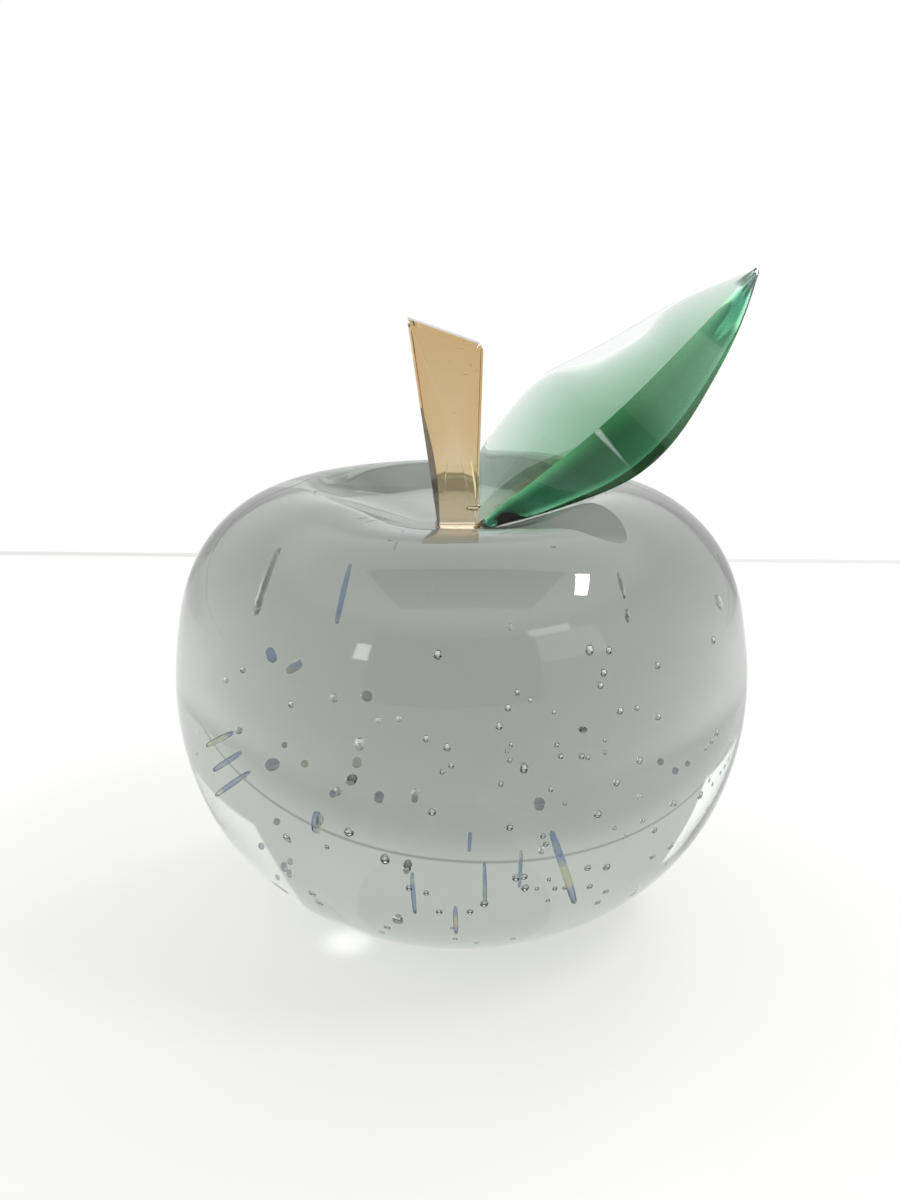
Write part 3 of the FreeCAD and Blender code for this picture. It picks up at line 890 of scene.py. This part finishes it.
def glass(name, tint, absorbed, per_metre, ior, smear_scale, smear_roughness, ripple=0.0, kept_tint=False):
    """Clear surface, tinted a little by its smears and by the mesh, over an absorbing volume."""
    material, tree, surface, worn = clear_surface(name, ior, smear_scale, smear_roughness)
    film = blended(tree, worn["Height"], (1, 1, 1, 1), (*tint, 1))
    if kept_tint:
        kept = add_node(tree, "Attribute", attribute_name="tint").outputs["Color"]
        film = add_node(tree, "VectorMath", {0: film, 1: kept}, operation="MULTIPLY").outputs["Vector"]
    tree.links.new(film, surface.inputs["Base Color"])
    if ripple > 0:
        bump = add_node(tree, "Bump", {"Strength": ripple, "Distance": 0.2 * mm, "Height": worn["Height"]})
        tree.links.new(bump.outputs["Normal"], surface.inputs["Normal"])
    depth = add_node(tree, "VolumeAbsorption", {"Color": (*absorbed, 1), "Density": per_metre})
    tree.links.new(depth.outputs["Volume"], tree.nodes["Material Output"].inputs["Volume"])
    return material

# %% [markdown]
# Films in seeds and streaks
#
# The wall of a streak gets a clear shader that hardly bends light, with a tint that wanders between
# straw and blue by slow noise. The poles of seeds and the seeds far back get a duller one. The top of a
# seed gets a painted reflection of the ceiling: a plain metal shader, uneven by noise. None of them has
# a volume of its own.

# %% Film, and the painted reflection on seed tops
def streak_film(name, ior, roughness, one, other):
    """Clear surface whose tint changes from one colour to another by slow noise."""
    material, tree, surface, worn = clear_surface(name, ior, 60, roughness)
    slow = ramp(tree, noise(tree, Scale=180.0, Detail=1.0), 0.40, 0.52)
    tree.links.new(blended(tree, slow, one, other), surface.inputs["Base Color"])
    return material


def painted_reflection_on_seed():
    """Painted reflection of the ceiling on the top of a seed: a silvery metal surface, uneven by noise."""
    material = bpy.data.materials.new("painted reflection on seed tops")
    material.use_nodes = True
    tree = material.node_tree
    surface = tree.nodes["Principled BSDF"]
    uneven = noise(tree, Scale=900.0)
    tree.links.new(ramp(tree, uneven, 0.3, 0.7, 0.35, 0.55), surface.inputs["Roughness"])
    tree.links.new(blended(tree, uneven, (0.95, 0.96, 0.94, 1), (1, 1, 1, 1)), surface.inputs["Base Color"])
    surface.inputs["Metallic"].default_value = 1
    return material

# %% Give the pieces their materials
clear, amber = (0.985, 0.99, 0.985), (0.99, 0.985, 0.96)
straw, blue = (0.82, 0.79, 0.60, 1), (0.42, 0.50, 0.74, 1)
dull_straw, dull_blue = (0.66, 0.64, 0.58, 1), (0.44, 0.46, 0.55, 1)
body_materials = [
    glass("clear glass", clear, (0.275, 0.352, 0.275), 14.2, glass_ior, 60, 0.012), painted_reflection_on_seed(),
    streak_film("film in a streak", 1.07, 0.05, straw, blue),
    streak_film("film in a seed far back", 1.06, 0.2, dull_straw, dull_blue),
]
stem_glass = glass("amber glass", amber, (0.73, 0.52, 0.065), 230.0, 1.52, 140, 0.02, 0.05, True)
leaf_glass = glass("green glass", clear, (0.22, 0.60, 0.36), 320.0, 1.52, 110, 0.02, 0.05, True)
glue = glass("clear adhesive", (0.99, 0.99, 0.97), (0.9, 0.9, 0.8), 20.0, 1.5, 300, 0.05, 0.2)

for piece, materials, slot, node in (
    (body, body_materials, "clear_glass", "apple_body"),
    (stem, [stem_glass], "amber_glass", "stem"),
    (leaf, [leaf_glass], "green_glass", "leaf"),
):
    piece.data.materials.clear()
    for material in materials:
        piece.data.materials.append(material)
    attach(piece, "root")
    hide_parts(node)
body.data.polygons.foreach_set("material_index", seed_parts(body))
for node in ("stem_bond", "leaf_foot_bond", "leaf_side_bond"):
    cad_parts[node].data.materials.clear()
    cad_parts[node].data.materials.append(glue)

# %% [markdown]
# The table
#
# The apple stands on a white table, so bright that its shadow is pale. For sight lines, straight, by
# reflection or through the glass, half of the table's colour is therefore its own white, and half is
# the light that falls on it, which keeps the shadow. A thin grey line runs across the table behind the
# apple. What the glass turns upside down is the far end of the table, against the brighter wall. Seen
# through the glass, the table has painted light at the sides and a painted shadow up to just behind the
# apple. The apple gathers light to a small bright spot in front of its base, and that spot is painted,
# because path tracing seldom finds it.

# %% Table
table_half_width, table_front, table_back = 1500 * mm, -1500 * mm, 300 * mm
table_gap = 0.05 * mm
table_slant = -0.042
grey_line_behind, grey_line_width = 259.6 * mm, 8.6 * mm
table_paint, grey_line_colour = (0.93, 0.925, 0.91, 1), (0.60, 0.60, 0.59, 1)
own_white = 0.49
white_through_glass = 0.66
glow_middle, glow_reach, glow_strength, glow_power = (-19.5 * mm, -21 * mm), 4.5 * mm, 0.5, 1.6
# Painted light at the sides and a painted shadow near the apple, both seen only through the glass
painted_light_at_sides, painted_light_reach, painted_light_end = 0.95, 100 * mm, (150 * mm, 250 * mm)
painted_shadow_share, painted_shadow_range = 0.5, (70 * mm, 115 * mm)


def table_material():
    """White paint, with its own share of white for sight lines and a grey line for straight ones; through the
    glass, painted light at the sides and a painted shadow near the apple, and a painted bright spot by the
    base.
    """
    material = bpy.data.materials.new("white table")
    material.use_nodes = True
    tree = material.node_tree
    paint = tree.nodes["Principled BSDF"]
    paint.inputs["Base Color"].default_value = table_paint
    paint.inputs["Roughness"].default_value = 0.6
    paint.inputs["Specular IOR Level"].default_value = 0.2
    path = add_node(tree, "LightPath").outputs
    place = add_node(tree, "SeparateXYZ", {0: add_node(tree, "TexCoord").outputs["Object"]}).outputs
    turned = minus(tree, place["Y"], times(tree, place["X"], table_slant))
    # A thin grey line across the table behind the apple, seen only by straight sight lines
    beside = worked(tree, "ABSOLUTE", minus(tree, turned, grey_line_behind))
    grey_line = times(tree, ramp(tree, beside, grey_line_width / 2, grey_line_width / 4), path["Is Camera Ray"])
    # Painted light: seen through the glass, the table is brighter towards the sides, so its middle stays in
    # painted shade
    painted_light_across = ramp(tree, worked(tree, "ABSOLUTE", place["X"]), 0, painted_light_reach, 0, painted_light_at_sides)
    sides = times(tree, painted_light_across, ramp(tree, place["Y"], *painted_light_end, 1, 0))
    # Painted shadow: seen through the glass, the table is darkened to half up to 70 mm behind the axis, and
    # is full again by 115 mm
    painted_shadow_behind = ramp(tree, place["Y"], *painted_shadow_range, painted_shadow_share, 1)
    white_with_painted_light_and_shadow = times(tree, plus(tree, 1, sides), white_through_glass, painted_shadow_behind)
    behind = add_node(tree, "CombineXYZ", {0: white_with_painted_light_and_shadow, 1: white_with_painted_light_and_shadow, 2: white_with_painted_light_and_shadow}).outputs[0]
    through = blended(tree, path["Is Transmission Ray"], (1, 1, 1, 1), behind)
    off = [minus(tree, place[axis], middle) for axis, middle in zip("XY", glow_middle)]
    off = worked(tree, "SQRT", plus(tree, *[times(tree, part, part) for part in off]))
    glow = worked(tree, "POWER", ramp(tree, off, 2 * glow_reach, 0), glow_power)
    white = add_node(tree, "Emission", {"Color": blended(tree, grey_line, through, grey_line_colour),
                                        "Strength": ramp(tree, glow, 0, 1, 1, 1 + glow_strength)})
    seen = worked(tree, "MAXIMUM", path["Is Camera Ray"], path["Is Transmission Ray"], path["Is Glossy Ray"])
    share = times(tree, seen, own_white)
    mixed = add_node(tree, "MixShader", {0: share, 1: paint.outputs[0], 2: white.outputs[0]})
    tree.links.new(mixed.outputs[0], tree.nodes["Material Output"].inputs["Surface"])
    return material

# %% The sheet itself
def table():
    """A flat sheet whose back edge runs slightly aslant."""
    mesh = bpy.data.meshes.new("table")
    aslant = table_slant * table_half_width
    mesh.from_pydata([(-table_half_width, table_front, -table_gap),
                      (table_half_width, table_front, -table_gap),
                      (table_half_width, table_back + aslant, -table_gap),
                      (-table_half_width, table_back - aslant, -table_gap)], [], [(0, 1, 2, 3)])
    mesh.materials.append(table_material())
    piece = bpy.data.objects.new("table", mesh)
    bpy.context.scene.collection.objects.link(piece)


table()

# %% [markdown]
# The room
#
# Glass shows its surroundings, so the room matters as much as the material. It is white, dimmer in
# front of the apple, with a field in the ceiling that reflects as a grey four-sided patch on the
# shoulder. The wall behind is brighter above a slanting edge, and the edge is the dark arc low in the
# body, where everything stands on its head. Windows in front are seen only as reflections, and windows
# behind only through the glass, so that none stands as a patch inside the leaf.

# %% Values of the room
# Directions in degrees: turned to the right from the front or the back, and risen from level
world_front, front_border = 0.85, (-0.1, 0.3)
wall_low, wall_high, wall_blend = 0.87, 1.12, (-0.13, 0.02)
wall_edge_rise, wall_edge_slant, wall_edge_bow = 0.138, -0.111, -0.158
wall_edge_width, wall_edge_softness, wall_edge_strength = 0.011, 0.005, 0.6
ceiling_field, ceiling_softness = ((-0.45, 0.49), (-0.70, 0.03), 0.4), 0.01
front_field = ((-36, 29), (-40, 33), 0.5)
front_windows = (((-42, -36), (14, 24), 6.0), ((27, 46), (31, 35), 3.0), ((29, 57), (14, 31), 0.9))
back_windows = (((34, 62), (11, 36), 0.85), ((-100, -43), (5, 26), 1.6))
ceiling_more, ceiling_rise = 0.8, (0.55, 0.75)
border = 0.8

# %% Fields of the room
def inside(tree, value, limits, softness):
    """One between two limits, and nothing outside, with soft borders."""
    over = ramp(tree, value, limits[0] - softness, limits[0] + softness)
    under = ramp(tree, value, limits[1] + softness, limits[1] - softness)
    return times(tree, over, under)


def oblong(tree, across, up, sides, ends, softness):
    """One inside an oblong of two coordinates, and nothing outside it."""
    return times(tree, inside(tree, across, sides, softness), inside(tree, up, ends, softness))


def dimmed(tree, strength, field, share):
    """A strength that falls to a share of itself inside a field."""
    return times(tree, strength, ramp(tree, field, 0, 1, 1, share))


def degrees(tree, operation, *parts):
    """An angle from one or two parts of a direction, in degrees."""
    return times(tree, worked(tree, operation, *parts), 180 / math.pi)


def wall_strength(tree, x, y, z):
    """Strength of the wall behind: low, and higher above a bowed edge, with a dark line along it."""
    slant, bow = times(tree, x, wall_edge_slant), times(tree, x, x, wall_edge_bow)
    level = plus(tree, times(tree, y, wall_edge_rise), slant, bow)
    over_edge = minus(tree, z, level)
    at_edge = inside(tree, over_edge, (-wall_edge_width, 0), wall_edge_softness)
    return dimmed(tree, ramp(tree, over_edge, *wall_blend, wall_low, wall_high), at_edge, wall_edge_strength)

# %% Light by direction
def room_light():
    """Strength by direction: walls, ceiling, a dark field each, windows; one for the camera."""
    world = bpy.data.worlds.new("room")
    bpy.context.scene.world = world
    world.use_nodes = True
    tree = world.node_tree
    way = add_node(tree, "SeparateXYZ", {0: add_node(tree, "TexCoord").outputs["Generated"]}).outputs
    path = add_node(tree, "LightPath").outputs
    x, y, z = way["X"], way["Y"], way["Z"]
    rise = degrees(tree, "ARCSINE", z)
    from_front = degrees(tree, "ARCTAN2", x, times(tree, y, -1))
    from_back = degrees(tree, "ARCTAN2", x, y)
    behind = ramp(tree, y, *front_border)
    front = times(tree, world_front, minus(tree, 1, behind))
    back = times(tree, wall_strength(tree, x, y, z), behind)
    more = times(tree, ramp(tree, z, *ceiling_rise, 0, ceiling_more), path["Is Glossy Ray"])
    strength = plus(tree, front, back, more)
    upwards = worked(tree, "MAXIMUM", z, 0.01)
    overhead = [worked(tree, "DIVIDE", part, upwards) for part in (x, y)]
    sides, ends, share = ceiling_field
    strength = dimmed(tree, strength, oblong(tree, *overhead, sides, ends, ceiling_softness), share)
    sides, ends, share = front_field
    strength = dimmed(tree, strength, oblong(tree, from_front, rise, sides, ends, border), share)
    straight_on = minus(tree, 1, path["Is Transmission Ray"])
    mirrored = times(tree, path["Is Glossy Ray"], straight_on)
    unmirrored = minus(tree, 1, mirrored)
    rows = ((front_windows, from_front, mirrored), (back_windows, from_back, unmirrored))
    for windows, turned, seen in rows:
        for sides, ends, more in windows:
            field = oblong(tree, turned, rise, sides, ends, border)
            strength = plus(tree, strength, times(tree, field, seen, more))
    direct = path["Is Camera Ray"]
    strength = times(tree, strength, minus(tree, 1, direct))
    background = tree.nodes["Background"]
    background.inputs["Color"].default_value = (1, 1, 1, 1)
    tree.links.new(plus(tree, strength, direct), background.inputs["Strength"])


room_light()

# %% [markdown]
# Roof windows
#
# Two lamps stand for windows in the roof. The one to the right gives the small hard highlight and, with
# the one behind, the shadow to the front left. A lamp's shape shows only where a surface mirrors it.

# %% Lamps
lamp_target = Vector((16, -38, 69)) * mm


def roof_window(name, way, distance, width, length, long_side, power, mirrored=True):
    """An area lamp that looks at the apple from a direction; a surface may mirror it, or it only lights."""
    data = bpy.data.lights.new(name, "AREA")
    data.shape = "RECTANGLE"
    data.size, data.size_y, data.energy = width, length, power
    lamp = bpy.data.objects.new(name, data)
    away = Vector(way).normalized()
    side = Vector(long_side).cross(away).normalized()
    turned = Matrix((side, away.cross(side), away)).transposed().to_4x4()
    lamp.matrix_world = Matrix.Translation(lamp_target + away * distance) @ turned
    lamp.visible_camera = False
    lamp.visible_transmission = False
    lamp.visible_glossy = mirrored
    bpy.context.scene.collection.objects.link(lamp)


roof_window("window_right", (0.562, -0.117, 0.819), 0.6, 0.05, 0.19, (-0.232, 0.927, 0.295), 0.75)
roof_window("window_behind", (0.42, 0.64, 0.64), 0.7, 0.15, 0.20, (1, 0, 0), 0.75, False)

# %% [markdown]
# Settings
#
# Light crosses many walls of glass here, so it gets many bounces.

# %% Render settings that belong to the look
scene = bpy.context.scene
scene.view_settings.view_transform = "Standard"
scene.cycles.max_bounces = 24
scene.cycles.transmission_bounces = 24
scene.cycles.glossy_bounces = 16
scene.cycles.caustics_refractive = True
scene.cycles.caustics_reflective = True
